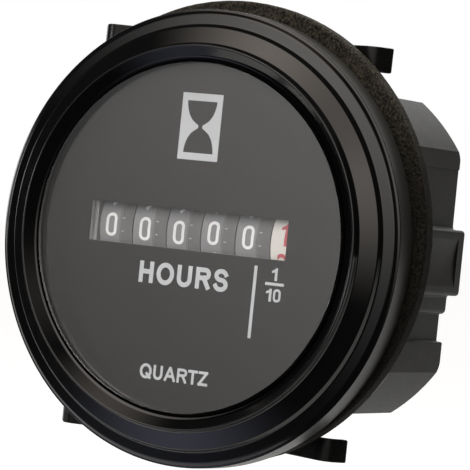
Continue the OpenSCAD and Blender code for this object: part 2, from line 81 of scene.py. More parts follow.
# studio: a white backdrop behind the meter, soft panels in front and above, dark elsewhere for black gloss
studioSet = {"dark": 0.02, "rear": 0.9, "backdrop": (-0.5, 0.866, 0), "backdropEdge": (0.7, 0.9),
             "floorSize": 8, "floorY": 3.96, "floorZ": -100, "floorTone": "#a6a6a4",
             # floorGlow: the floor's glow near the meter and far back; the low near value is a painted shadow
             "floorGlow": (0.12, 0.85), "floorReach": (0.1, 0.8),
             # azimuth and elevation of the middle, reach in degrees, strength, tint
             "panels": [(-20, 14, 30, 2.0, "#fffcfa"), (-20, 42, 33, 2.75, "#fff3e8"),
                        (14, 17, 32, 2.0, "#fff6ee"), (-41, -43, 34, 0.85, "#dfe4ff"),
                        (-68, 4, 9, 12.0, "#ffffff")]}

studio = bpy.data.worlds.new("studio")
scene.world = studio
studio.use_nodes = True
tree = studio.node_tree
tree.nodes.clear()
path = addNode(tree, "ShaderNodeLightPath")
coord = addNode(tree, "ShaderNodeTexCoord")
behind = addNode(tree, "ShaderNodeVectorMath", {"operation": "DOT_PRODUCT"},
                 {0: coord.outputs["Generated"], 1: studioSet["backdrop"]})
rear = addNode(tree, "ShaderNodeMapRange", {"interpolation_type": "SMOOTHSTEP"},
               {0: behind.outputs["Value"], 1: studioSet["backdropEdge"][0], 2: studioSet["backdropEdge"][1]})
light = addNode(tree, "ShaderNodeMix", {"data_type": "RGBA"},
                {0: rear.outputs[0], 6: (studioSet["dark"],) * 3 + (1,), 7: (studioSet["rear"],) * 3 + (1,)})
for turn, lift, reach, power, tint in studioSet["panels"]:
    a, e = math.radians(turn), math.radians(lift)
    way = (math.sin(a) * math.cos(e), -math.cos(a) * math.cos(e), math.sin(e))
    near = addNode(tree, "ShaderNodeVectorMath", {"operation": "DOT_PRODUCT"},
                   {0: coord.outputs["Generated"], 1: way})
    off = addNode(tree, "ShaderNodeMath", {"operation": "ARCCOSINE"}, {0: near.outputs["Value"]})
    lobe = addNode(tree, "ShaderNodeMapRange", {"interpolation_type": "SMOOTHSTEP"},
                   {0: off.outputs[0], 1: math.radians(reach), 2: 0.0, 3: 0.0, 4: power})
    scaled = addNode(tree, "ShaderNodeVectorMath", {"operation": "SCALE"},
                     {0: srgb(tint)[:3], "Scale": lobe.outputs[0]})
    light = addNode(tree, "ShaderNodeMix", {"data_type": "RGBA", "blend_type": "ADD"},
                    {0: 1.0, 6: light.outputs[2], 7: scaled.outputs[0]})
mirror = addNode(tree, "ShaderNodeMath", {"operation": "MAXIMUM"},
                 {0: path.outputs["Is Glossy Ray"], 1: path.outputs["Is Transmission Ray"]})
mirrorRear = addNode(tree, "ShaderNodeMath", {"operation": "MULTIPLY"},
                     {0: mirror.outputs[0], 1: rear.outputs[0]})
shown = addNode(tree, "ShaderNodeMath", {"operation": "ADD", "use_clamp": True},
                {0: path.outputs["Is Camera Ray"], 1: mirrorRear.outputs[0]})
whole = addNode(tree, "ShaderNodeMix", {"data_type": "RGBA"},
                {0: shown.outputs[0], 6: light.outputs[2], 7: srgb("#ffffff")})
sky = addNode(tree, "ShaderNodeBackground", None, {"Color": whole.outputs[2], "Strength": 1.0})
addNode(tree, "ShaderNodeOutputWorld", None, {"Surface": sky.outputs[0]})

# floor: pale sweep that ends in front of the meter; its glow is painted low near the meter as a painted
# shadow, and white farther back
bpy.ops.object.select_all(action="DESELECT")
bpy.ops.mesh.primitive_plane_add(size=studioSet["floorSize"],
                                 location=(0, studioSet["floorY"], studioSet["floorZ"] * mm))
floor = bpy.context.object
floor.name = "paleFloor"
paper = bpy.data.materials.new("paperFloor")
paper.use_nodes = True
tree = paper.node_tree
tree.nodes.clear()
path = addNode(tree, "ShaderNodeLightPath")
seen = addNode(tree, "ShaderNodeMath", {"operation": "ADD"},
               {0: path.outputs["Is Camera Ray"], 1: path.outputs["Is Glossy Ray"]})
seenAll = addNode(tree, "ShaderNodeMath", {"operation": "ADD", "use_clamp": True},
                  {0: seen.outputs[0], 1: path.outputs["Is Transmission Ray"]})
coord = addNode(tree, "ShaderNodeTexCoord")
axes = addNode(tree, "ShaderNodeSeparateXYZ", None, {0: coord.outputs["Object"]})
paintedFloorShadow = addNode(tree, "ShaderNodeMapRange", {"interpolation_type": "SMOOTHSTEP"},
                {0: axes.outputs["Y"], 1: studioSet["floorReach"][0] - floor.location.y,
                 2: studioSet["floorReach"][1] - floor.location.y,
                 3: studioSet["floorGlow"][0], 4: studioSet["floorGlow"][1]})
glowLevel = addNode(tree, "ShaderNodeMath", {"operation": "MULTIPLY"},
                    {0: seenAll.outputs[0], 1: paintedFloorShadow.outputs[0]})
matt = addNode(tree, "ShaderNodeBsdfDiffuse", None, {"Color": srgb(studioSet["floorTone"])})
glow = addNode(tree, "ShaderNodeEmission", None, {"Color": srgb("#ffffff"), "Strength": glowLevel.outputs[0]})
both = addNode(tree, "ShaderNodeAddShader", None, {0: matt.outputs[0], 1: glow.outputs[0]})
addNode(tree, "ShaderNodeOutputMaterial", None, {"Surface": both.outputs[0]})
floor.data.materials.append(paper)

# lamps: name, place in mm, size in mm, watts, seen in gloss
lampSet = [("topKey", (0, 460, 470), (900, 500), 2.2, True),
           ("overKey", (40, 20, 620), (500, 400), 8.0, False),
           ("frontFill", (-60, -600, 260), (600, 600), 2.65, False)]

for name, place, size, watts, inGloss in lampSet:
    bpy.ops.object.light_add(type="AREA", location=Vector(place) * mm)
    lamp = bpy.context.object
    lamp.name = name
    lamp.data.shape = "RECTANGLE"
    lamp.data.size, lamp.data.size_y = size[0] * mm, size[1] * mm
    lamp.data.energy = watts
    lamp.visible_glossy = lamp.visible_transmission = inGloss
    lamp.rotation_euler = (-Vector(place)).to_track_quat("-Z", "Y").to_euler()
print("studio lit")


# one moulded or cast surface: two close tones, grain in mm, roughness range, relief in mm
def surface(name, tones, grain, rough, relief, metallic=0.0, ior=1.5):
    made = bpy.data.materials.new(name)
    made.use_nodes = True
    tree = made.node_tree
    shader = tree.nodes["Principled BSDF"]
    coord = addNode(tree, "ShaderNodeTexCoord")
    fine = addNode(tree, "ShaderNodeTexNoise", None,
                   {"Vector": coord.outputs["Object"], "Scale": 1 / (grain * mm), "Detail": 3.0})
    broad = addNode(tree, "ShaderNodeTexNoise", None,
                    {"Vector": coord.outputs["Object"], "Scale": 1 / (grain * 14 * mm), "Detail": 2.0})
    blendTone = addNode(tree, "ShaderNodeMapRange", None, {0: broad.outputs[0], 1: 0.3, 2: 0.7})
    tone = addNode(tree, "ShaderNodeMix", {"data_type": "RGBA"},
                   {0: blendTone.outputs[0], 6: srgb(tones[0]), 7: srgb(tones[1])})
    gloss = addNode(tree, "ShaderNodeMapRange", None,
                    {0: fine.outputs[0], 1: 0.3, 2: 0.7, 3: rough[0], 4: rough[1]})
    bump = addNode(tree, "ShaderNodeBump", None,
                   {"Height": fine.outputs[0], "Strength": 1.0, "Distance": relief * mm})
    tree.links.new(tone.outputs[2], shader.inputs["Base Color"])
    tree.links.new(gloss.outputs[0], shader.inputs["Roughness"])
    tree.links.new(bump.outputs[0], shader.inputs["Normal"])
    shader.inputs["Metallic"].default_value = metallic
    shader.inputs["IOR"].default_value = ior
    return made


# polished black ABS: deep black with sharp, slightly wavy reflections
polishedAbs = surface("polishedBlackAbs", ("#050505", "#080808"), 2.5, (0.07, 0.12), 0.004, ior=1.53)
# satin dial card: dark grey coat with a very fine matt tooth
dialCoat = surface("satinDialCoat", ("#131313", "#151514"), 0.12, (0.58, 0.62), 0.0)
# matt black styrene: swallows light at the dial's edge
mattStyrene = surface("mattBlackStyrene", ("#0c0c0c", "#121212"), 0.2, (0.6, 0.75), 0.003)
# black ring filling the gap round the lens: painted shade, a dead black piece put where the gap's shade falls
gapShadeBlack = surface("blackGapShadeFill", ("#020202", "#040404"), 0.3, (0.8, 0.9), 0.002, ior=1.08)
# glass-filled nylon of the case: warm charcoal, eroded mould face
caseNylon = surface("sparkErodedNylon", ("#1b1a18", "#21201d"), 0.22, (0.44, 0.56), 0.006, ior=1.3)
# acetal of the clip: black, waxy gloss
clipAcetal = surface("blackAcetal", ("#080808", "#0d0d0c"), 0.5, (0.26, 0.36), 0.004, ior=1.33)
# tinned brass: dull silver with faint rolling marks
tinnedBrass = surface("tinnedBrass", ("#c9c6bd", "#d8d6cf"), 0.15, (0.26, 0.4), 0.002, metallic=1.0)
# grey acetal wheels: soft sheen, printed digits
wheelGrey = surface("greyWheelAcetal", ("#8a8a8c", "#8f8f91"), 0.3, (0.4, 0.52), 0.002)
wheelWhite = surface("whiteWheelAcetal", ("#e4e1da", "#eae7e1"), 0.3, (0.4, 0.52), 0.002)
# pad-printed inks: flat, a little uneven at the edges of the film
inkWhite = surface("whiteDigitInk", ("#f2f2f4", "#ffffff"), 0.2, (0.5, 0.65), 0.001)
inkRed = surface("redDigitInk", ("#c2545c", "#cb6068"), 0.2, (0.5, 0.65), 0.001)
inkGrey = surface("lightGreyDialInk", ("#c5c7ca", "#cccfd1"), 0.2, (0.5, 0.65), 0.001)
# inner works
greyChassis = surface("greyStyreneChassis", ("#6c6c6c", "#717171"), 0.25, (0.5, 0.65), 0.002)
groundSteel = surface("groundSteelRod", ("#a9abad", "#b6b8ba"), 0.1, (0.2, 0.34), 0.001, metallic=1.0)
whitePinion = surface("whitePinionAcetal", ("#b9b8b3", "#c6c5c0"), 0.3, (0.4, 0.5), 0.002)
ferrite = surface("sinteredFerrite", ("#2b2a2c", "#37363a"), 0.2, (0.5, 0.7), 0.004)
copperWire = surface("enamelledCopper", ("#8f4a22", "#b0602c"), 0.18, (0.2, 0.34), 0.02, metallic=1.0)
boardResin = surface("greenSolderMask", ("#12482a", "#175732"), 0.4, (0.3, 0.42), 0.003)
chipEpoxy = surface("blackChipEpoxy", ("#191919", "#212121"), 0.15, (0.55, 0.7), 0.004)

# clear acrylic: barely seen apart from a soft edge
clearAcrylic = bpy.data.materials.new("clearAcrylic")
clearAcrylic.use_nodes = True
tree = clearAcrylic.node_tree
shader = tree.nodes["Principled BSDF"]
shader.inputs["Base Color"].default_value = srgb("#fbfcfc")
shader.inputs["Transmission Weight"].default_value = 1.0
shader.inputs["IOR"].default_value = 1.49
coord = addNode(tree, "ShaderNodeTexCoord")
haze = addNode(tree, "ShaderNodeTexNoise", None, {"Vector": coord.outputs["Object"], "Scale": 1 / (6 * mm)})
hazeGloss = addNode(tree, "ShaderNodeMapRange", None, {0: haze.outputs[0], 1: 0.3, 2: 0.7, 3: 0.0, 4: 0.012})
tree.links.new(hazeGloss.outputs[0], shader.inputs["Roughness"])
path = addNode(tree, "ShaderNodeLightPath")
clear = addNode(tree, "ShaderNodeBsdfTransparent")
passing = addNode(tree, "ShaderNodeMixShader", None,
                  {0: path.outputs["Is Shadow Ray"], 1: shader.outputs[0], 2: clear.outputs[0]})
tree.links.new(passing.outputs[0], tree.nodes["Material Output"].inputs["Surface"])

# closed-cell foam: brown-black and dull, its cut cells drawn a little coarse so that they show
foamSet = {"cell": 0.45, "mottle": 0.26, "mottleRange": (0.36, 0.78), "tones": ("#090908", "#353129"),
           "pit": 0.06, "rough": 0.85, "shine": 0.15,
           "paintedTopLightZ": (8.0, 24.0), "paintedTopLight": (0.5, 1.3)}  # painted light: the upper half is lightened and the lower half darkened, as if lit from above

foam = bpy.data.materials.new("closedCellFoam")
foam.use_nodes = True
tree = foam.node_tree
shader = tree.nodes["Principled BSDF"]
coord = addNode(tree, "ShaderNodeTexCoord")
cells = addNode(tree, "ShaderNodeTexVoronoi", {"feature": "F1"},
                {"Vector": coord.outputs["Object"], "Scale": 1 / (foamSet["cell"] * mm)})
mottle = addNode(tree, "ShaderNodeTexNoise", None,
                 {"Vector": coord.outputs["Object"], "Scale": 1 / (foamSet["mottle"] * mm), "Detail": 3.0})
cellTone = addNode(tree, "ShaderNodeMapRange", None,
                   {0: mottle.outputs[0], 1: foamSet["mottleRange"][0], 2: foamSet["mottleRange"][1]})
foamTone = addNode(tree, "ShaderNodeMix", {"data_type": "RGBA"},
                   {0: cellTone.outputs[0], 6: srgb(foamSet["tones"][0]), 7: srgb(foamSet["tones"][1])})
pits = addNode(tree, "ShaderNodeMath", {"operation": "ADD"}, {0: cells.outputs[0], 1: mottle.outputs[0]})
bump = addNode(tree, "ShaderNodeBump", None,
               {"Height": pits.outputs[0], "Strength": 1.0, "Distance": foamSet["pit"] * mm})
# painted light: the foam's tone is scaled up towards the top and down towards the bottom
axes = addNode(tree, "ShaderNodeSeparateXYZ", None, {0: coord.outputs["Object"]})
paintedTopLight = addNode(tree, "ShaderNodeMapRange", {"interpolation_type": "SMOOTHSTEP"},
               {0: axes.outputs["Z"], 1: foamSet["paintedTopLightZ"][0] * mm, 2: foamSet["paintedTopLightZ"][1] * mm,
                3: foamSet["paintedTopLight"][0], 4: foamSet["paintedTopLight"][1]})
paintedTopLightTone = addNode(tree, "ShaderNodeVectorMath", {"operation": "SCALE"},
                   {0: foamTone.outputs[2], "Scale": paintedTopLight.outputs[0]})
tree.links.new(paintedTopLightTone.outputs[0], shader.inputs["Base Color"])
tree.links.new(bump.outputs[0], shader.inputs["Normal"])
shader.inputs["Roughness"].default_value = foamSet["rough"]
shader.inputs["Specular IOR Level"].default_value = foamSet["shine"]
print("materials made")


def freshStart():
    if bpy.context.object and bpy.context.object.mode != "OBJECT":
        bpy.ops.object.mode_set(mode="OBJECT")
    bpy.ops.object.select_all(action="DESELECT")


def editMode(on):
    bpy.ops.object.mode_set(mode="EDIT" if on else "OBJECT")


def makeActive(piece):
    freshStart()
    piece.select_set(True)
    bpy.context.view_layer.objects.active = piece


def clearPicks(piece):
    editMode(False)
    for kind in (piece.data.vertices, piece.data.edges, piece.data.polygons):
        kind.foreach_set("select", [False] * len(kind))


# chain of points laid by pulling one point along, in mm
def layOutline(name, points):
    freshStart()
    bpy.ops.mesh.primitive_plane_add(size=mm)
    piece = bpy.context.object
    piece.name = name
    editMode(True)
    bpy.ops.mesh.select_mode(type="VERT")
    bpy.ops.mesh.select_all(action="SELECT")
    bpy.ops.mesh.merge(type="CENTER")
    bpy.ops.transform.translate(value=Vector(points[0]) * mm)
    for start, end in zip(points, points[1:] + points[:1]):
        step = (Vector(end) - Vector(start)) * mm
        bpy.ops.mesh.extrude_vertices_move(TRANSFORM_OT_translate={"value": step})
    bpy.ops.mesh.select_all(action="SELECT")
    bpy.ops.mesh.remove_doubles(threshold=0.001 * mm)
    return piece


# rounds the outline's corners one by one: {corner: radius}, in mm
def roundCorners(piece, corners, segments=4):
    for corner, radius in corners.items():
        clearPicks(piece)
        for vert in piece.data.vertices:
            vert.select = (vert.co - Vector(corner) * mm).length < 0.01 * mm
        editMode(True)
        bpy.ops.mesh.bevel(offset=radius * mm, segments=segments, affect="VERTICES")


def fillOutline():
    bpy.ops.mesh.select_all(action="SELECT")
    bpy.ops.mesh.edge_face_add()


def pull(move):
    bpy.ops.mesh.select_all(action="SELECT")
    bpy.ops.mesh.extrude_region_move(TRANSFORM_OT_translate={"value": Vector(move) * mm})
    cleanShell()


def cleanShell():
    bpy.ops.mesh.select_all(action="SELECT")
    bpy.ops.mesh.remove_doubles(threshold=0.001 * mm)
    bpy.ops.mesh.normals_make_consistent(inside=False)
    editMode(False)


# turns an outline about the meter's axis
def spinRound(piece, steps):
    bpy.ops.mesh.select_all(action="SELECT")
    bpy.ops.mesh.delete(type="ONLY_FACE")
    bpy.ops.mesh.select_all(action="SELECT")
    bpy.ops.mesh.spin(steps=steps, angle=math.tau, center=(0, 0, 0), axis=(0, 1, 0))
    cleanShell()


# ring turned from its outline, radius and depth, with rounded corners
def turnRing(name, made):
    ring = layOutline(name, [(r, y, 0) for r, y in made["outline"]])
    fillOutline()
    roundCorners(ring, {(r, y, 0): size for (r, y), size in made["rounds"].items()})
    spinRound(ring, made["steps"])
    return ring


def pickFaces(piece, test):
    clearPicks(piece)
    scene.tool_settings.mesh_select_mode = (False, False, True)
    for face in piece.data.polygons:
        face.select = test(face.center / mm, face.normal)
    editMode(True)


def modify(piece, kind, **settings):
    makeActive(piece)
    bpy.ops.object.modifier_add(type=kind)
    step = piece.modifiers[-1]
    for key, value in settings.items():
        setattr(step, key, value)
    bpy.ops.object.modifier_apply(modifier=step.name)


def softenEdges(piece, width, segments=3, angle=28):
    modify(piece, "BEVEL", width=width * mm, segments=segments, limit_method="ANGLE",
           angle_limit=math.radians(angle), miter_outer="MITER_ARC")


def combine(piece, other, how):
    modify(piece, "BOOLEAN", object=other, operation=how, solver="EXACT")
    bpy.data.objects.remove(other)


def joinOnto(piece, others):
    makeActive(piece)
    for other in others:
        other.select_set(True)
    bpy.ops.object.join()


# box with its corners in mm
def addBox(name, low, high):
    freshStart()
    size = (Vector(high) - Vector(low)) * mm
    bpy.ops.mesh.primitive_cube_add(size=1, location=(Vector(high) + Vector(low)) * mm / 2)
    piece = bpy.context.object
    piece.name = name
    piece.scale = size
    bpy.ops.object.transform_apply(location=True, rotation=True, scale=True)
    return piece


# round bar along the meter's axis, in mm
def addDisc(name, radius, y0, y1, sides=192):
    freshStart()
    bpy.ops.mesh.primitive_cylinder_add(vertices=sides, radius=radius * mm, depth=(y1 - y0) * mm,
                                        location=(0, (y0 + y1) / 2 * mm, 0), rotation=(math.pi / 2, 0, 0))
    piece = bpy.context.object
    piece.name = name
    bpy.ops.object.transform_apply(location=True, rotation=True, scale=True)
    return piece


# cuts a round bar to a square with turned corners
def squareOff(piece, half):
    editMode(True)
    for way in ((1, 0, 0), (-1, 0, 0), (0, 0, 1), (0, 0, -1)):
        bpy.ops.mesh.select_all(action="SELECT")
        bpy.ops.mesh.bisect(plane_co=Vector(way) * half * mm, plane_no=way, use_fill=True, clear_outer=True)
    cleanShell()


def finishPiece(piece, material, body, slotName, *nodes, angle=32, flatten=True):
    makeActive(piece)
    bpy.ops.object.shade_smooth_by_angle(angle=math.radians(angle))
    if flatten:
        modify(piece, "WEIGHTED_NORMAL", keep_sharp=True)
    piece.data.materials.clear()
    piece.data.materials.append(material)
    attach(piece, body)
    if nodes:
        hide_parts(*nodes)
    return piece


# bezel: stepped ring
bezelSet = {"steps": 256,
            "outline": [(29.5, -2.2), (29.42, -5.5), (29.15, -5.56), (28.75, -5.9), (27.35, -6.1),
                        (27.05, -6.7), (24.8, -7.7), (24.62, -8.6), (24.4, -8.6), (23.15, -7.6),
                        (22.75, -7.52), (22.7, -6.95), (24.3, -6.95), (24.3, -6.3), (25.9, -6.3),
                        (25.9, -4.4), (28.2, -4.4), (28.2, -2.95), (27.7, -2.55), (27.7, -2.2)],
            "rounds": {(29.5, -2.2): 0.15, (29.42, -5.5): 0.07, (29.15, -5.56): 0.1, (28.75, -5.9): 0.14,
                       (27.35, -6.1): 0.16, (27.05, -6.7): 0.12, (24.8, -7.7): 0.14, (24.62, -8.6): 0.13,
                       (24.4, -8.6): 0.1, (23.15, -7.6): 0.1, (22.75, -7.52): 0.06},
            # depth where the side's polish ends, then the roughness and tone there
            "satinFrom": -5.45, "satinTo": -5.35, "satinRough": 0.3, "satinTone": "#282725"}

bezel = turnRing("bezelRing", bezelSet)
finishPiece(bezel, polishedAbs, "meter", "bezel", "bezel", angle=40)
tree = polishedAbs.node_tree
shader = tree.nodes["Principled BSDF"]
coord = addNode(tree, "ShaderNodeTexCoord")
axes = addNode(tree, "ShaderNodeSeparateXYZ", None, {0: coord.outputs["Object"]})
onSide = addNode(tree, "ShaderNodeMapRange", None,
                 {0: axes.outputs["Y"], 1: bezelSet["satinFrom"] * mm, 2: bezelSet["satinTo"] * mm,
                  4: bezelSet["satinRough"]})
duller = addNode(tree, "ShaderNodeMath", {"operation": "ADD"},
                 {0: shader.inputs["Roughness"].links[0].from_socket, 1: onSide.outputs[0]})
tree.links.new(duller.outputs[0], shader.inputs["Roughness"])
share = addNode(tree, "ShaderNodeMath", {"operation": "DIVIDE"},
                {0: onSide.outputs[0], 1: bezelSet["satinRough"]})
sideTone = addNode(tree, "ShaderNodeMix", {"data_type": "RGBA"},
                   {0: share.outputs[0], 6: shader.inputs["Base Color"].links[0].from_socket,
                    7: srgb(bezelSet["satinTone"])})
tree.links.new(sideTone.outputs[2], shader.inputs["Base Color"])
print("bezel turned")

# lens: flat plug in the bezel's mouth on a thinner rim
lensSet = {"radius": 24.2, "plug": 22.4, "root": 22.44, "front": -7.92, "rim": -6.9, "back": -6.3,
           "edge": 0.04}

lens = addDisc("lensDisc", lensSet["radius"], lensSet["rim"], lensSet["back"], 256)
pickFaces(lens, lambda centre, normal: normal.y < -0.9)
bpy.ops.mesh.inset(thickness=(lensSet["radius"] - lensSet["root"]) * mm)
rise = (lensSet["front"] - lensSet["rim"]) * mm
bpy.ops.mesh.extrude_region_move(TRANSFORM_OT_translate={"value": (0, rise, 0)})
taper = lensSet["plug"] / lensSet["root"]
bpy.ops.transform.resize(value=(taper, 1, taper), center_override=(0, 0, 0))
editMode(False)
softenEdges(lens, lensSet["edge"])
finishPiece(lens, clearAcrylic, "meter", "lens", "lens")

# black ring in the gap between the lens and the bezel's lip, a dark piece standing in for the shade in that
# gap (painted shade)
gapShadeSet = {"steps": 192,
           "outline": [(22.46, -6.98), (22.68, -6.98), (22.68, -7.56), (22.8, -7.56), (22.8, -7.86),
                       (22.46, -7.86)],
           "rounds": {(22.8, -7.86): 0.06, (22.46, -7.86): 0.03}}

gapShadeRing = turnRing("lensGapShade", gapShadeSet)
finishPiece(gapShadeRing, gapShadeBlack, "meter", "bezel", angle=40)

# dial with its counter window
dialSet = {"radius": 22.8, "front": -6.27, "back": -5.45, "window": (-15.1, 14.2, -1.59, 3.51), "edge": 0.07,
           "coat": (0.05, 0.09), "paleSheetLift": "#b0b0b0"}

dial = addDisc("dialPlate", dialSet["radius"], dialSet["front"], dialSet["back"], 192)
x0, x1, z0, z1 = dialSet["window"]
combine(dial, addBox("windowCut", (x0, -7, z0), (x1, -5, z1)), "DIFFERENCE")
softenEdges(dial, dialSet["edge"], 2)
finishPiece(dial, dialCoat, "meter", "dial", "dial")
# the coat stops at the face, so the cut edges of the window show the pale sheet; its pale tone is also
# painted light, lifting the shade on the window's walls
tree = dialCoat.node_tree
shader = tree.nodes["Principled BSDF"]
coord = addNode(tree, "ShaderNodeTexCoord")
axes = addNode(tree, "ShaderNodeSeparateXYZ", None, {0: coord.outputs["Object"]})
edgeLiftMask = addNode(tree, "ShaderNodeMapRange", None,
              {0: axes.outputs["Y"], 1: (dialSet["front"] + dialSet["coat"][0]) * mm,
               2: (dialSet["front"] + dialSet["coat"][1]) * mm})
edgeLiftTone = addNode(tree, "ShaderNodeMix", {"data_type": "RGBA"},
                    {0: edgeLiftMask.outputs[0], 6: shader.inputs["Base Color"].links[0].from_socket,
                     7: srgb(dialSet["paleSheetLift"])})
tree.links.new(edgeLiftTone.outputs[2], shader.inputs["Base Color"])
print("lens and dial made")


# flat lettering turned to a mesh, sized in mm and laid on a face that looks forward
def layWords(name, words, width, height, centre, y, film=0.02, weight=0.0):
    freshStart()
    bpy.ops.object.text_add()
    piece = bpy.context.object
    piece.name = name
    piece.data.body = words
    piece.data.offset = weight
    piece.data.resolution_u = 5
    piece.data.extrude = 0.01
    bpy.ops.object.convert(target="MESH")
    piece = bpy.context.object
    spread = [[v.co[i] for v in piece.data.vertices] for i in (0, 1)]
    low, high = [min(s) for s in spread], [max(s) for s in spread]
    middle = Vector(((low[0] + high[0]) / 2, (low[1] + high[1]) / 2, -0.01))
    size = (width / (high[0] - low[0]), height / (high[1] - low[1]), film / 0.02)
    grow = Matrix.Diagonal((size[0] * mm, size[1] * mm, size[2] * mm, 1))
    stand = Matrix.Rotation(math.pi / 2, 4, "X")
    place = Matrix.Translation(Vector((centre[0], y, centre[1])) * mm)
    piece.matrix_world = place @ stand @ grow @ Matrix.Translation(-middle)
    bpy.ops.object.transform_apply(location=True, rotation=True, scale=True)
    editMode(True)
    cleanShell()
    return piece


# leaves only a border of a flat shape
def openMiddle(stroke):
    bpy.ops.mesh.select_mode(type="FACE")
    bpy.ops.mesh.select_all(action="SELECT")
    bpy.ops.mesh.inset(thickness=stroke * mm)
    bpy.ops.mesh.delete(type="FACE")


# figure one with a flag, in the same place and manner as layWords
def layOne(name, width, height, centre, y, stroke, film=0.02):
    r, h, s = width / 2, height / 2, stroke
    shape = [(r - s, -h), (r, -h), (r, h), (r - 0.8 * s, h), (r - 1.2 * s, 0.74 * h), (-r, 0.56 * h),
             (-r, 0.56 * h - 0.85 * s), (r - s, 0.5 * h - 0.35 * s)]
    piece = layOutline(name, [(centre[0] + px, y, centre[1] + pz) for px, pz in shape])
    fillOutline()
    pull((0, -film, 0))
    return piece


# upright oval nought with straight sides
def layNought(name, width, height, centre, y, stroke, film=0.02):
    w, h = width / 2, height / 2
    ends = [(centre[0] + px, y, centre[1] + pz) for px, pz in ((-w, -h), (w, -h), (w, h), (-w, h))]
    piece = layOutline(name, ends)
    fillOutline()
    roundCorners(piece, {end: 0.94 * w for end in ends}, 7)
    openMiddle(stroke)
    pull((0, -film, 0))
    return piece


# points of an oval arc, angles in degrees
def ovalArc(x, z, rx, rz, start, end, steps=12):
    angles = [math.radians(start + (end - start) * i / steps) for i in range(steps + 1)]
    return [(x + rx * math.cos(a), z + rz * math.sin(a)) for a in angles]


# the outline of a stroke along a line of points
def strokeEdges(points, stroke):
    points = [Vector(p) for p in points]
    ways = [(b - a).normalized() for a, b in zip(points, points[1:])]
    points[0] -= ways[0] * stroke / 2
    points[-1] += ways[-1] * stroke / 2
    near, far = [], []
    for i, point in enumerate(points):
        before, after = ways[max(i - 1, 0)], ways[min(i, len(ways) - 1)]
        side = Vector((-before.y - after.y, before.x + after.x)).normalized()
        reach = stroke / 2 / side.dot(Vector((-after.y, after.x)))
        near.append(point + side * reach)
        far.append(point - side * reach)
    return near + far[::-1]


# capitals as middle lines in a box from -1 to 1, "ring" being an oval all round
glyphSet = {"H": [[(-1, -1), (-1, 1)], [(1, -1), (1, 1)], [(-1, 0.06), (1, 0.06)]],
            "O": ["ring"],
            "U": [[(-1, 1)] + ovalArc(0, -0.3, 1, 0.7, 180, 360) + [(1, 1)]],
            "R": [[(-1, -1), (-1, 1)], [(-1, 1)] + ovalArc(0.3, 0.52, 0.66, 0.48, 90, -90) + [(-1, 0.04)],
                  [(0.1, 0.04), (0.92, -1)]],
            "S": [ovalArc(0, 0.52, 0.92, 0.48, 18, 270, 16) + ovalArc(0, -0.48, 1, 0.52, 90, -162, 16)[1:]],
            "Q": ["ring", [(0.25, -0.42), (0.9, -0.98)]],
            "A": [[(-1, -1), (-0.08, 1)], [(0.08, 1), (1, -1)], [(-0.6, -0.36), (0.6, -0.36)]],
            "T": [[(-1, 1), (1, 1)], [(0, 1), (0, -1)]],
            "Z": [[(-0.92, 1), (1, 1)], [(0.72, 0.75), (-0.72, -0.75)], [(-1, -1), (1, -1)]]}


def layGlyph(letter, width, height, centre, y, stroke, film=0.02):
    reach = Vector(((width - stroke) / 2, (height - stroke) / 2))
    made = []
    for line in glyphSet[letter]:
        if line == "ring":
            edge = ovalArc(0, 0, width / 2, height / 2, 0, 360, 40)[:-1]
        else:
            edge = strokeEdges([Vector(p) * reach for p in line], stroke)
        piece = layOutline("letter" + letter, [(centre[0] + px, y, centre[1] + pz) for px, pz in edge])
        fillOutline()
        if line == "ring":
            openMiddle(stroke)
        pull((0, -film, 0))
        made.append(piece)
    for other in made[1:]:
        combine(made[0], other, "UNION")
    return made[0]


# dial print: plain unit words, an hourglass and a fraction
printSet = {"face": -6.27, "film": 0.02,
            # letter, width, height, place across, place up, stroke
            "letters": [("H", 2.14, 2.76, -5.83, -4.95, 0.6), ("O", 2.62, 2.88, -2.97, -4.95, 0.6),
                        ("U", 2.21, 2.8, -0.1, -4.97, 0.6), ("R", 2.24, 2.76, 2.69, -4.95, 0.6),
                        ("S", 2.13, 2.9, 5.31, -4.95, 0.58), ("Q", 1.78, 1.94, -4.42, -17.6, 0.36),
                        ("U", 1.4, 1.88, -2.58, -17.63, 0.36), ("A", 1.66, 1.84, -0.78, -17.62, 0.34),
                        ("R", 1.5, 1.84, 1.04, -17.62, 0.34), ("T", 1.42, 1.84, 2.62, -17.62, 0.36),
                        ("Z", 1.44, 1.84, 4.14, -17.62, 0.35)],
            "glassHalf": [(0, 4.275), (2.975, 4.275), (2.975, -4.275), (0, -4.275), (0, -3.36), (2.2, -3.36),
                          (2.14, -2.75), (1.98, -2.1), (1.72, -1.45), (1.3, -0.85), (0.68, -0.4),
                          (0.34, -0.2), (0.29, 0), (0.34, 0.2), (0.68, 0.4), (1.3, 0.85), (1.72, 1.45),
                          (1.98, 2.1), (2.14, 2.75), (2.2, 3.3), (0, 3.3)],
            "glassZ": 14.19,
            # width, height, place, stroke of the fraction's figures, then the corners of the two bars
            "one": (0.8, 1.6, (13.0, -3.42), 0.36), "ten": (0.8, 1.62, (12.42, -6.05), 0.36),
            "nought": (1.08, 1.66, (13.6, -6.05), 0.3), "barEdge": 0.008,
            "bars": [("fractionBar", (11.75, -4.83), (14.45, -4.47)),
                     ("divider", (10.0, -11.74), (10.44, -2.57))]}

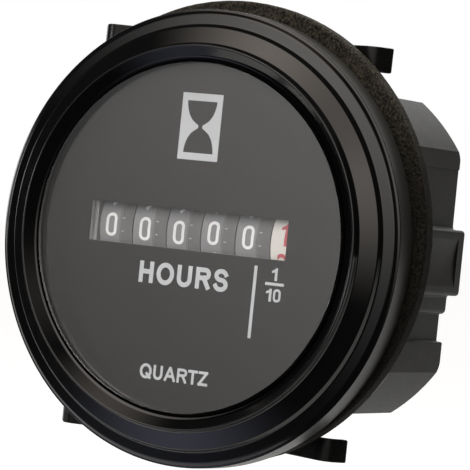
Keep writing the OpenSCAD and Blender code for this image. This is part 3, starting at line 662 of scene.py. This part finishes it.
glassMark = layOutline("hourglassMark", [(x, printSet["face"], z + printSet["glassZ"])
                                         for x, z in printSet["glassHalf"]])
fillOutline()
pull((0, -printSet["film"], 0))
pickFaces(glassMark, lambda centre, normal: normal.x < -0.99 and centre.x < 0.01)
bpy.ops.mesh.delete(type="FACE")
editMode(False)
modify(glassMark, "MIRROR", use_axis=(True, False, False), merge_threshold=0.002 * mm)
marks = [layGlyph(letter, wide, tall, (across, rise), printSet["face"], stroke)
         for letter, wide, tall, across, rise, stroke in printSet["letters"]]
for figure, lay in (("one", layOne), ("ten", layOne), ("nought", layNought)):
    wide, tall, middle, stroke = printSet[figure]
    marks.append(lay(figure + "Mark", wide, tall, middle, printSet["face"], stroke))
for name, low, high in printSet["bars"]:
    bar = addBox(name, (low[0], printSet["face"] - printSet["film"], low[1]),
                 (high[0], printSet["face"], high[1]))
    softenEdges(bar, printSet["barEdge"], 2)
    marks.append(bar)
joinOnto(glassMark, marks)
glassMark.name = "dialPrint"
finishPiece(glassMark, inkGrey, "meter", "dial")
print("dial printed")

# digits rolled onto the number wheels; turn is where the shown digit stands, in degrees up from the front
wheelSet = {"axisY": 1.3, "axisZ": 0.6, "radius": 6.4, "width": 1.66, "height": 3.06, "film": 0.02,
            "stroke": 0.41, "gapLightTone": "#b8b8b5", "gapLightDepth": (0.12, 0.06),  # the rim's grey fades into the painted light this far under the rim
            "wheels": [("ten_thousands", -12.6, 0.4, 0), ("thousands", -7.46, -0.8, 0),
                       ("hundreds", -2.32, -0.9, 0), ("tens", 2.82, 2.7, 0), ("units", 7.96, 2.1, 0),
                       ("tenths", 13.1, 10.0, 1)]}

# the rim's grey runs up to its edges; the lighter tone under it is painted light that lifts the shade in the
# recessed gaps between the wheels
tree = wheelGrey.node_tree
shader = tree.nodes["Principled BSDF"]
coord = addNode(tree, "ShaderNodeTexCoord")
fromAxis = addNode(tree, "ShaderNodeVectorMath", {"operation": "MULTIPLY_ADD"},
                   {0: coord.outputs["Object"], 1: (0, 1, 1),
                    2: (0, -wheelSet["axisY"] * mm, -wheelSet["axisZ"] * mm)})
far = addNode(tree, "ShaderNodeVectorMath", {"operation": "LENGTH"}, {0: fromAxis.outputs[0]})
outsideGapLight = addNode(tree, "ShaderNodeMapRange", None,
                  {0: far.outputs["Value"], 1: (wheelSet["radius"] - wheelSet["gapLightDepth"][0]) * mm,
                   2: (wheelSet["radius"] - wheelSet["gapLightDepth"][1]) * mm})
rimAndGapLightTone = addNode(tree, "ShaderNodeMix", {"data_type": "RGBA"},
                  {0: outsideGapLight.outputs[0], 6: srgb(wheelSet["gapLightTone"]),
                   7: shader.inputs["Base Color"].links[0].from_socket})
tree.links.new(rimAndGapLightTone.outputs[2], shader.inputs["Base Color"])


def rollDigit(digit, turn):
    width, height, film = wheelSet["width"], wheelSet["height"], wheelSet["film"]
    if digit == 0:
        piece = layNought("digit", width, height, (0, 0), 0, wheelSet["stroke"], film)
    elif digit == 1:
        piece = layOne("digit", width * 0.6, height, (0, 0), 0, wheelSet["stroke"], film)
    else:
        piece = layWords("digit", str(digit), width, height, (0, 0), 0, film, 0.008)
    editMode(True)
    for i in range(-5, 6):
        bpy.ops.mesh.select_all(action="SELECT")
        bpy.ops.mesh.bisect(plane_co=(0, 0, i * wheelSet["height"] / 12 * mm), plane_no=(0, 0, 1))
    editMode(False)
    for vert in piece.data.vertices:
        x, y, z = vert.co / mm
        lift = wheelSet["radius"] - y
        angle = z / wheelSet["radius"] + math.radians(turn)
        vert.co = Vector((x, -lift * math.cos(angle), lift * math.sin(angle))) * mm
    return piece


def placedCopy(digits, name, x, turn):
    freshStart()
    made = digits.copy()
    made.data = digits.data.copy()
    scene.collection.objects.link(made)
    made.name = name
    made.matrix_world = (Matrix.Translation(Vector((x, wheelSet["axisY"], wheelSet["axisZ"])) * mm)
                         @ Matrix.Rotation(math.radians(-turn), 4, "X"))
    makeActive(made)
    bpy.ops.object.transform_apply(location=True, rotation=True, scale=True)
    return made


digitBand = [rollDigit(d, -36 * d) for d in range(10)]
digits = digitBand[0]
joinOnto(digits, digitBand[1:])
for body, x, turn, shownDigit in wheelSet["wheels"]:
    ring = placedCopy(digits, "digits_" + body, x, turn + 36 * shownDigit)
    inTenths = body == "tenths"
    finishPiece(ring, inkRed if inTenths else inkWhite, body, "tenths" if inTenths else "wheel")
bpy.data.objects.remove(digits)
print("digits rolled on")

# pips on the fingers between the wheels
pipSet = {"face": -5.0, "proud": 0.1, "sunk": 0.1, "aside": 1.8, "up": (1.6, -0.1),
          "size": (0.4, 0.13), "edge": 0.02}

pips = []
for body, x, turn, shownDigit in wheelSet["wheels"][:5]:
    for z in pipSet["up"]:
        w, h = pipSet["size"][0] / 2, pipSet["size"][1] / 2
        middle = x + pipSet["aside"]
        pip = addBox("pip", (middle - w, pipSet["face"] - pipSet["proud"], z - h),
                     (middle + w, pipSet["face"] + pipSet["sunk"], z + h))
        softenEdges(pip, pipSet["edge"], 2)
        pips.append(pip)
joinOnto(pips[0], pips[1:])
pips[0].name = "fingerPips"
finishPiece(pips[0], whitePinion, "meter", "chassis")

# foam gasket: rounded rim, slightly uneven
gasketSet = {"inner": 27.5, "outer": 29.85, "front": -2.2, "back": 0.0, "round": 0.45,
             "backRound": 0.15, "steps": 300, "rough": 0.09, "lump": 0.9,
             "slip": (1.25, 0, 1.15)}  # loose on the neck, pushed up and to the right

g = gasketSet
gasket = layOutline("foamGasket", [(g["inner"], g["back"], 0), (g["outer"], g["back"], 0),
                                   (g["outer"], g["front"], 0), (g["inner"], g["front"], 0)])
fillOutline()
roundCorners(gasket, {(g["outer"], g["front"], 0): g["round"], (g["outer"], g["back"], 0): g["backRound"]})
bpy.ops.mesh.select_all(action="SELECT")
bpy.ops.mesh.subdivide(number_cuts=4)
spinRound(gasket, g["steps"])
lumps = bpy.data.textures.new("foamLumps", "CLOUDS")
lumps.noise_scale = g["lump"] * mm
editMode(True)
bpy.ops.mesh.select_all(action="SELECT")
bpy.ops.transform.translate(value=Vector(g["slip"]) * mm)
editMode(False)
modify(gasket, "DISPLACE", texture=lumps, texture_coords="LOCAL", strength=g["rough"] * mm, mid_level=0.6)
finishPiece(gasket, foam, "meter", "gasket", "gasket", angle=60, flatten=False)
print("gasket turned")

# case: square body with turned corners, neck, rails, grooves, ratchets and terminal seats
caseSet = {"half": 21, "corner": 25.7, "front": 2, "rear": 26.7, "wall": 1.6, "railX": 22.7, "railZ": 4.4,
           "scoop": 18, "scoopDeep": 0.3, "groove": (-10.7, -7.0), "grooveX": 20.15, "edge": 0.45,
           "rearRound": 2.2, "stepZ": 12.4, "stepX": 20.87, "floor": 1.7, "scoopFrom": 6,
           "seatX": 6.5, "seatHalf": (1.6, 4.45), "seatRear": 27.49, "seatEdge": 0.25,
           "neck": [(21.5, -5.4), (21.5, -4.2), (20.9, -4.2), (20.9, 2.5), (25.7, 2.5), (25.7, -2.2),
                    (27.5, -2.2), (27.5, -2.5), (28.1, -3.0), (28.1, -4.3), (25.8, -4.3), (25.8, -6.25),
                    (23.6, -6.25), (23.6, -5.4)]}

c = caseSet
flat = math.sqrt(c["corner"] ** 2 - c["half"] ** 2)
first = math.atan2(flat, c["half"])
turned = [first + (math.pi / 2 - 2 * first) * i / 14 for i in range(15)]
corner = [(c["corner"] * math.cos(a), c["corner"] * math.sin(a)) for a in turned]
low, high = c["groove"]
rightSide = [(c["half"], low), (c["grooveX"], low), (c["grooveX"], high), (c["half"], high),
             (c["half"], -c["railZ"]), (c["railX"], -c["railZ"]), (c["railX"], c["railZ"]),
             (c["stepX"], c["railZ"]), (c["stepX"], c["stepZ"]), (c["half"], c["stepZ"])]
section = [(x, -z) for x, z in reversed(corner)] + rightSide + corner
section += [(-x, z) for x, z in reversed(corner)] + [(-x, z) for x, z in reversed(rightSide)]
section += [(-x, -z) for x, z in corner]
shell = layOutline("caseShell", [(x, c["front"], z) for x, z in section])
fillOutline()
rounds = {}
for side in (1, -1):
    for (x, z), size in (((c["railX"], c["railZ"]), 0.5), ((c["railX"], -c["railZ"]), 0.5),
                         ((c["stepX"], c["railZ"]), 0.4), ((c["half"], -c["railZ"]), 0.4),
                         ((c["half"], low), 0.25), ((c["half"], high), 0.65),
                         ((c["grooveX"], low), 0.2), ((c["grooveX"], high), 0.15)):
        rounds[(side * x, c["front"], z)] = size
roundCorners(shell, rounds, 3)
pull((0, c["rear"] - c["front"], 0))
for side in (1, -1):
    scoop = addDisc("scoop", c["scoop"], c["scoopFrom"], c["rear"] - 2, 192)
    scoop.location.x = side * (c["railX"] + c["scoop"] - c["scoopDeep"]) * mm
    combine(shell, scoop, "DIFFERENCE")
pickFaces(shell, lambda centre, normal: normal.y > 0.9 and centre.y > c["rear"] - 0.01)
bpy.ops.mesh.bevel(offset=c["edge"] * mm, segments=4, affect="EDGES")
editMode(False)
turnedEnd = addDisc("turnedEnd", c["corner"] + 0.3, 1, c["rear"] + 0.01, 192)
pickFaces(turnedEnd, lambda centre, normal: normal.y > 0.9)
bpy.ops.mesh.bevel(offset=c["rearRound"] * mm, segments=8, affect="EDGES")
editMode(False)
combine(shell, turnedEnd, "INTERSECT")
hollow = addDisc("hollow", c["corner"] - c["wall"], 1, c["rear"] - c["floor"], 192)
squareOff(hollow, c["half"] - c["wall"])
combine(shell, hollow, "DIFFERENCE")
editMode(True)
bpy.ops.mesh.select_all(action="SELECT")
bpy.ops.mesh.remove_doubles(threshold=0.004 * mm)
bpy.ops.mesh.dissolve_degenerate(threshold=0.004 * mm)
editMode(False)
neck = layOutline("neck", [(r, y, 0) for r, y in c["neck"]])
fillOutline()
spinRound(neck, 192)
ratchetSet = {"x": 4, "from": 6, "pitch": 1.2, "count": 14, "low": 0.05, "high": 0.55, "sunk": 0.3,
              "slope": 0.96, "edge": 0.05}
extras = [neck]
for top in (1, -1):
    teeth = [(ratchetSet["from"], c["half"] - ratchetSet["sunk"])]
    for i in range(ratchetSet["count"]):
        start = ratchetSet["from"] + i * ratchetSet["pitch"]
        teeth += [(start, c["half"] + ratchetSet["low"]),
                  (start + ratchetSet["slope"] * ratchetSet["pitch"], c["half"] + ratchetSet["high"])]
    last = ratchetSet["from"] + ratchetSet["count"] * ratchetSet["pitch"]
    teeth.append((last, c["half"] - ratchetSet["sunk"]))
    row = layOutline("ratchet", [(-ratchetSet["x"], y, top * z) for y, z in teeth])
    fillOutline()
    pull((2 * ratchetSet["x"], 0, 0))
    softenEdges(row, ratchetSet["edge"], 2)
    extras.append(row)
for side in (1, -1):
    w, h = c["seatHalf"]
    seat = addBox("terminalSeat", (side * c["seatX"] - w, c["rear"] - 0.4, -h),
                  (side * c["seatX"] + w, c["seatRear"], h))
    softenEdges(seat, c["seatEdge"])
    extras.append(seat)
joinOnto(shell, extras)
finishPiece(shell, caseNylon, "meter", "case", "case", angle=35)

# raised polarity signs by the terminals
signSet = {"z": 7.4, "long": 2.6, "thick": 0.55, "proud": 0.3, "sunk": 0.2, "edge": 0.1}

s = signSet
signs = []
for x, tall in ((c["seatX"], False), (c["seatX"], True), (-c["seatX"], False)):
    long, thick = s["long"] / 2, s["thick"] / 2
    w, h = (thick, long) if tall else (long, thick)
    sign = addBox("sign", (x - w, c["rear"] - s["sunk"], s["z"] - h),
                  (x + w, c["rear"] + s["proud"], s["z"] + h))
    softenEdges(sign, s["edge"], 2)
    signs.append(sign)
joinOnto(signs[0], signs[1:])
signs[0].name = "polaritySigns"
finishPiece(signs[0], caseNylon, "meter", "case")
print("case built")

# mounting clip: square ring, ears round the rails, two bow springs with rounded feet
clipSet = {"in": 21.3, "inCorner": 26.0, "out": 22.8, "outCorner": 27.3, "front": 3.6, "back": 8.0,
           "edge": 0.22, "earBack": 10.0, "earIn": 23.0, "earX": 25.3, "earZ": 6.0, "earRound": 0.8,
           "ratchetSlot": (4.3, 21.85), "railSlot": (24, 4.7), "slotRear": 12,  # half width, half height
           "webX": 5, "webFront": 4.6, "webZ": 26.6, "webEdge": 0.2, "bowEdge": 0.18,
           "bowZ": {1: (23.6, 26.8), -1: (23.5, 26.45)},
           # the bows sit a little askew: shift across, turn in degrees
           "askew": {1: (-0.4, 0.9), -1: (-0.85, 0.0)},
           "bow": [(0, 7.0), (5, 6.5), (11.5, 3.6), (17.8, 0.85), (19.1, 0.45), (20.4, 0.8), (21.7, 2.5),
                   (20.75, 2.85), (19.95, 1.8), (19.0, 1.45), (18.0, 1.8), (11.9, 4.6), (5.4, 7.5), (0, 8.0)],
           "bends": {(5, 6.5): 2.0, (11.5, 3.6): 2.0, (19.1, 0.45): 0.5, (19.0, 1.45): 0.4, (5.4, 7.5): 2.0}}

k = clipSet
clip = addDisc("mountingClip", k["outCorner"], k["front"], k["back"], 216)
squareOff(clip, k["out"])
inside = addDisc("clipHole", k["inCorner"], k["front"] - 1, k["back"] + 1, 216)
squareOff(inside, k["in"])
combine(clip, inside, "DIFFERENCE")
for slot in ("ratchetSlot", "railSlot"):
    w, h = k[slot]
    combine(clip, addBox(slot, (-w, 0, -h), (w, k["slotRear"], h)), "DIFFERENCE")
editMode(True)
bpy.ops.mesh.select_all(action="SELECT")
bpy.ops.mesh.remove_doubles(threshold=0.02 * mm)  # tiny edges where the arcs meet the flats
editMode(False)
softenEdges(clip, k["edge"])
extras = []
for side in (1, -1):
    high, slotHigh = k["earZ"], k["railSlot"][1]
    ear = layOutline("ear", [(side * x, k["front"], z) for x, z in
                             ((k["in"], -high), (k["earX"], -high), (k["earX"], high), (k["in"], high),
                              (k["in"], slotHigh), (k["earIn"], slotHigh), (k["earIn"], -slotHigh),
                              (k["in"], -slotHigh))])
    fillOutline()
    roundCorners(ear, {(side * k["earX"], k["front"], z): k["earRound"] for z in (-high, high)})
    pull((0, k["earBack"] - k["front"], 0))
    softenEdges(ear, k["edge"])
    extras.append(ear)
for top in (1, -1):
    spring = k["bow"] + [(-x, y) for x, y in k["bow"][-2:0:-1]]
    low, high = k["bowZ"][top]
    bow = layOutline("bow", [(x, y, low * top) for x, y in spring])
    fillOutline()
    roundCorners(bow, {(side * x, y, low * top): size for side in (1, -1)
                       for (x, y), size in k["bends"].items()}, 3)
    pull((0, 0, (high - low) * top))
    softenEdges(bow, k["bowEdge"], 2, 40)
    bow.location.x = k["askew"][top][0] * mm
    bow.rotation_euler.y = math.radians(k["askew"][top][1])
    bpy.ops.object.transform_apply(location=True, rotation=True, scale=True)
    web = addBox("web", (-k["webX"], k["webFront"], top * k["in"]), (k["webX"], k["back"], top * k["webZ"]))
    w, h = k["ratchetSlot"]
    combine(web, addBox("webSlot", (-w, 0, -h), (w, k["slotRear"], h)), "DIFFERENCE")
    softenEdges(web, k["webEdge"])
    extras += [bow, web]
joinOnto(clip, extras)
finishPiece(clip, clipAcetal, "clip", "clip", "mounting_clip", angle=40)
print("clip built")

# painted light: the chassis is paler at the counter's left end, where it fills the window, lifting the shade
# cast there by the dial's edge
leftShadeLift = {"from": -14.4, "to": -14.5, "tone": "#989898"}

tree = greyChassis.node_tree
shader = tree.nodes["Principled BSDF"]
coord = addNode(tree, "ShaderNodeTexCoord")
axes = addNode(tree, "ShaderNodeSeparateXYZ", None, {0: coord.outputs["Object"]})
leftShadeLiftMask = addNode(tree, "ShaderNodeMapRange", None,
                  {0: axes.outputs["X"], 1: leftShadeLift["from"] * mm, 2: leftShadeLift["to"] * mm})
leftShadeLiftTone = addNode(tree, "ShaderNodeMix", {"data_type": "RGBA"},
                  {0: leftShadeLiftMask.outputs[0], 6: shader.inputs["Base Color"].links[0].from_socket,
                   7: srgb(leftShadeLift["tone"])})
tree.links.new(leftShadeLiftTone.outputs[2], shader.inputs["Base Color"])

# finishes of the carried-over solids
finishSet = [(mattStyrene, ("dial_ring",)), (tinnedBrass, ("terminal_positive", "terminal_negative")),
             (greyChassis, ("chassis",)),
             (groundSteel, ("wheel_shaft", "pinion_shaft", "motor_stator", "quartz_crystal", "chassis_screws",
                            "board_screws")),
             (wheelGrey, ("wheel_units", "wheel_tens", "wheel_hundreds", "wheel_thousands",
                          "wheel_ten_thousands")),
             (wheelWhite, ("wheel_tenths",)),
             (whitePinion, tuple("transfer_pinion_%d" % i for i in range(1, 6)) + ("reduction_wheel",)),
             (ferrite, ("motor_rotor",)), (copperWire, ("motor_coil",)), (boardResin, ("circuit_board",)),
             (chipEpoxy, ("driver_chip", "filter_capacitor", "protection_diode", "series_resistor"))]

for material, names in finishSet:
    for name in names:
        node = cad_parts[name]
        node.data.materials.clear()
        node.data.materials.append(material)
print("carried-over solids finished")
